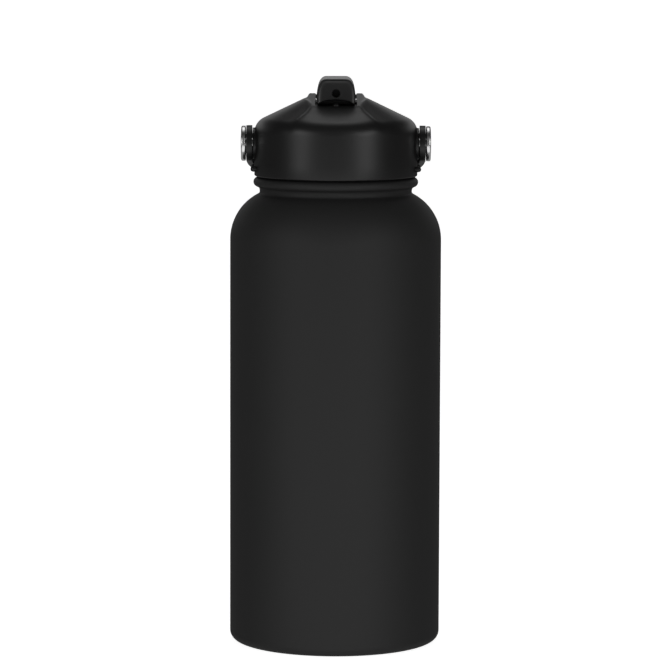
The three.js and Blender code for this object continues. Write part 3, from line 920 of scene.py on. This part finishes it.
def spout_place(u, v):
    angle = -2 * math.pi * (u % 1)  # u of 1 is the same place as 0, so that the seam closes
    station = v * (len(FACE) + BODY_STATIONS - 1)
    index = round(station)
    if index < len(FACE):
        mix, size, depth = FACE[index]
        circle_x = DRINK_R * size * math.cos(angle)
        circle_z = DRINK_Z + DRINK_R * size * math.sin(angle)
        arch_x, arch_z = arch_point(angle, TIP_Y + 1.3)
        x = circle_x + (arch_x - circle_x) * mix
        z = circle_z + (arch_z - circle_z) * mix
        y = TIP_Y + depth
    else:
        along = (index - len(FACE)) / (BODY_STATIONS - 1)
        y = TIP_Y + 1.3 + (HUB_Y + HUB_R - TIP_Y - 1.3) * (1 - (1 - along) ** 1.35)
        x, z = arch_point(angle, y)
    lean = 0.07 * (z - SPOUT_BOTTOM) * (1 - ease((y - TIP_Y) / 5))
    notch = 2.4 * math.sqrt(max(0.0, 1 - (x / 7.5) ** 2)) * (1 - ease((y - TIP_Y - 0.6) / 3.2))
    if z < SPOUT_BOTTOM + notch:
        z = SPOUT_BOTTOM + notch
    if v == 1:
        z = HUB_Z  # the last station is a line, which closes the hub's end
    return x, y + lean, z


spout = wrapped("flip_spout", 112, len(FACE) + BODY_STATIONS - 1, spout_place)
STUB_BORE_R = 1.8
STUB_BORE_LENGTH = 8
for side in (-1, 1):
    bore = peg("stub_bore", STUB_BORE_R, STUB_BORE_LENGTH, (side * 8.8, HUB_Y, HUB_Z))
    combine(spout, bore, "DIFFERENCE")
fit(smooth(spout, 40), "spout_plastic", "spout", "spout")

# %% The spout's stubs
for word, side in (("left", -1), ("right", 1)):
    stub = peg(f"pivot_stub_{word}", 1.5, 5.4, (side * 8.2, HUB_Y, HUB_Z), edge=0.25, sides=40)
    fit(stub, "polished_steel", "lid", f"spout_stub_{word}")

# %% [markdown]
# ## The handle
#
# The handle is a flat strap bent into a U, with a round eye at each end. The grid is the strap's
# middle surface: `u` runs across its width and `v` from one eye round the bow to the other. Solidify
# gives it its thickness and Bevel softens the four long edges, as the mould would. It is modelled
# level and then turned down to its rest, 18 degrees below level at the back.

# %% The strap
ARM = 7.2
EYE_R = 7.8
BOW_R = (STRAP_IN + STRAP_OUT) / 2
THICK = STRAP_OUT - STRAP_IN
EYE_STEPS = 14
ARM_STEPS = 10
BOW_STEPS = 96
HALF_STEPS = EYE_STEPS + ARM_STEPS + BOW_STEPS // 2


def strap_station(index):
    """(x, reach from the pivot, half width) at a step counted from one eye's end."""
    if index <= EYE_STEPS:
        turn = math.pi / 2 * index / EYE_STEPS
        return BOW_R, -EYE_R * math.cos(turn), EYE_R * math.sin(turn)
    if index <= EYE_STEPS + ARM_STEPS:
        share = (index - EYE_STEPS) / ARM_STEPS
        return BOW_R, ARM * share, STRAP_HALF + (EYE_R - STRAP_HALF) * (1 - ease(share * 0.8))
    turn = math.pi * (index - EYE_STEPS - ARM_STEPS) / BOW_STEPS
    tail = 1 - ease(0.8 + 0.2 * min(1.0, turn * 5))
    half = STRAP_HALF + (EYE_R - STRAP_HALF) * tail
    return BOW_R * math.cos(turn), ARM + BOW_R * math.sin(turn), half


def strap_place(u, v):
    index = round(v * 2 * HALF_STEPS)
    mirror = 1
    if index > HALF_STEPS:
        index = 2 * HALF_STEPS - index
        mirror = -1
    x, reach, half = strap_station(index)
    return mirror * x, reach, (2 * u - 1) * half


handle = wrapped("bail", 10, 2 * HALF_STEPS, strap_place)
only(handle)
shell = handle.modifiers.new("thickness", "SOLIDIFY")
shell.thickness = THICK * MM
shell.offset = 0
shell.use_even_offset = True
bpy.ops.object.modifier_apply(modifier=shell.name)
close_up(handle)
bevelled(handle, 0.75, 4, 50)
combine(handle, peg("eye_holes", 3.9, 90, (0, 0, 0)), "DIFFERENCE")
settle(handle, (0, 0, PIVOT_Z), (-REST_DROP, 0, 0))
fit(smooth(handle, 40), "handle_plastic", "handle", "handle")

# %% [markdown]
# The rivets are turned like everything round. Each head is a polished disc with a soft rim and a
# very shallow hollow, so that it catches one bright reflection and one dark one.

# %% Rivets and bushes
DISC_X = 38.8
DISC_R = 7.6
DISC_THICK = 2.0

for word, side in (("left", -1), ("right", 1)):
    end = DISC_X + DISC_THICK
    outline = rounded([
        (0, 30.4, 0), (2.3, 30.4, 0.3), (2.3, DISC_X, 0), (DISC_R, DISC_X, 0.5), (DISC_R, end, 0.9),
        (DISC_R - 2.0, end, 0.5), (DISC_R - 2.6, end - 0.45, 0.4), (0, end - 0.35, 0),
    ], 6)
    rivet = turned(f"rivet_{word}", outline, 96)
    settle(rivet, (0, 0, PIVOT_Z), (0, side * math.pi / 2, 0))
    fit(rivet, "polished_steel", "lid", f"handle_rivet_{word}")
    bush = turned(f"bush_{word}", rounded([
        (2.6, -1.2, 0.1), (3.6, -1.2, 0.2), (3.6, 1.2, 0.2), (2.6, 1.2, 0.1)]), 64)
    settle(bush, (side * BOW_R, 0, PIVOT_Z), (0, math.pi / 2, 0))
    fit(bush, "bush_plastic", "lid", f"handle_bush_{word}")

# %% [markdown]
# ## Pieces that stay as the CAD made them
#
# The foam disc and the getter are shut inside the object, so their plain shapes are right as they
# are. They only need their finishes.

# %% Hidden pieces
for node, slot in (("lid_foam", "foam"), ("getter", "seal_metal")):
    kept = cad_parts[node]
    kept.data.materials.clear()
    kept.data.materials.append(FINISHES[slot])
    print("kept", node, "in", slot)

# %% [markdown]
# ## Floor, light and camera
#
# A black object on white needs careful light. A matte skin shows hardly any of it, and a satin lid
# shows the room: two upright panels at the front corners draw the soft bands on the skirt, the pale
# wall behind draws the bright rims of the roof, and a panel overhead lifts the middle of the roof.

# %% Floor
bpy.ops.object.select_all(action="DESELECT")
bpy.ops.mesh.primitive_plane_add(size=40)
floor = bpy.context.object
floor.name = "floor"
pale = Finish("pale_floor")
pale.set(Base_Color=pale.between(grey(0.90), grey(0.94), pale.noise(3, 2)))
pale.set(Roughness=0.7 + 0.1 * pale.noise(8, 2))
pale.set(Specular_IOR_Level=0.2)
pale.set(Emission_Color=(1, 1, 1, 1), Emission_Strength=0.9)
floor.data.materials.append(pale.material)
floor.visible_glossy = False
floor.visible_diffuse = False


# %% World
def studio_world():
    """White to the camera. To the object: a dim room, lighter low behind it and overhead."""
    world = bpy.data.worlds.new("studio")
    bpy.context.scene.world = world
    world.use_nodes = True
    world.node_tree.nodes.clear()
    sky = Bench(world.node_tree)
    way = sky.node("ShaderNodeTexCoord", output="Generated")
    x, y, z = sky.split(way)
    front = FRONT_GLOW * sky.climb(0 - y, 0.45, 0.95)
    low_back = BACK_GLOW * sky.climb(y, 0.4, 0.9) * sky.climb(z, 0.0, 0.2)
    low_back = low_back * (1 - sky.climb(z, 0.28, 0.42))
    overhead = HIGH_GLOW * sky.climb(z, 0.60, 0.90) * sky.climb(y, -0.25, 0.4)
    overhead = overhead * (1 - sky.climb(x * x, 0.02, 0.12))
    below = FLOOR_GLOW * sky.climb(0 - z, 0.0, 0.5)
    room = DARK + front + low_back + overhead + below
    seen = sky.node("ShaderNodeLightPath")
    strength = room + seen * (1.05 - room)
    shown = sky.node("ShaderNodeBackground", None, {"Color": (1, 1, 1, 1), "Strength": strength})
    sky.node("ShaderNodeOutputWorld", None, {"Surface": shown})


DARK = 0.035
FRONT_GLOW = 0.11
BACK_GLOW = 0.7
HIGH_GLOW = 1.1
FLOOR_GLOW = 0.24
studio_world()


# %% Lights
def panel(name, place, size, power, aim=(0, 0, 0.15)):
    """A rectangular soft light that faces a point. Sizes are in metres and power in watts."""
    data = bpy.data.lights.new(name, "AREA")
    data.shape = "RECTANGLE"
    data.size, data.size_y = size
    data.energy = power
    obj = bpy.data.objects.new(name, data)
    bpy.context.scene.collection.objects.link(obj)
    obj.location = place
    obj.rotation_euler = (Vector(aim) - Vector(place)).to_track_quat("-Z", "Y").to_euler()
    return obj


def radiant(size, radiance):
    """The power in watts that gives a panel this radiance."""
    return math.pi * size[0] * size[1] * radiance


PANEL = (0.8, 1.1)
for word, side, azimuth, radiance in (("left", -1, 50, 2.3), ("right", 1, 43, 2.5)):
    turn = math.radians(azimuth)
    spot = (side * 2.0 * math.sin(turn), -2.0 * math.cos(turn), 0.58)
    panel(f"{word}_panel", spot, PANEL, radiant(PANEL, radiance))
BOUNCE = (0.6, 0.3)
BOUNCE_RADIANCE = 0.5
BOUNCE_SPOT = (0, -0.32, 0.004)
panel("floor_bounce", BOUNCE_SPOT, BOUNCE, radiant(BOUNCE, BOUNCE_RADIANCE), (0, -0.1, 0.2))

# %% Camera
FOCAL = 202.6
EYE = Vector((-0.0007, -1.622, 0.3124))
PITCH = math.radians(6.31)
ROLL = math.radians(-0.18)

camera_data = bpy.data.cameras.new("camera")
camera_data.lens = FOCAL
camera_data.sensor_width = 36
camera_data.clip_start = 0.05
camera = bpy.data.objects.new("camera", camera_data)
bpy.context.scene.collection.objects.link(camera)
camera.location = EYE
camera.rotation_euler = (math.pi / 2 - PITCH, ROLL, 0)
bpy.context.scene.camera = camera
bpy.context.scene.view_settings.view_transform = "Standard"
print("camera", round(EYE.length, 3), "m away")
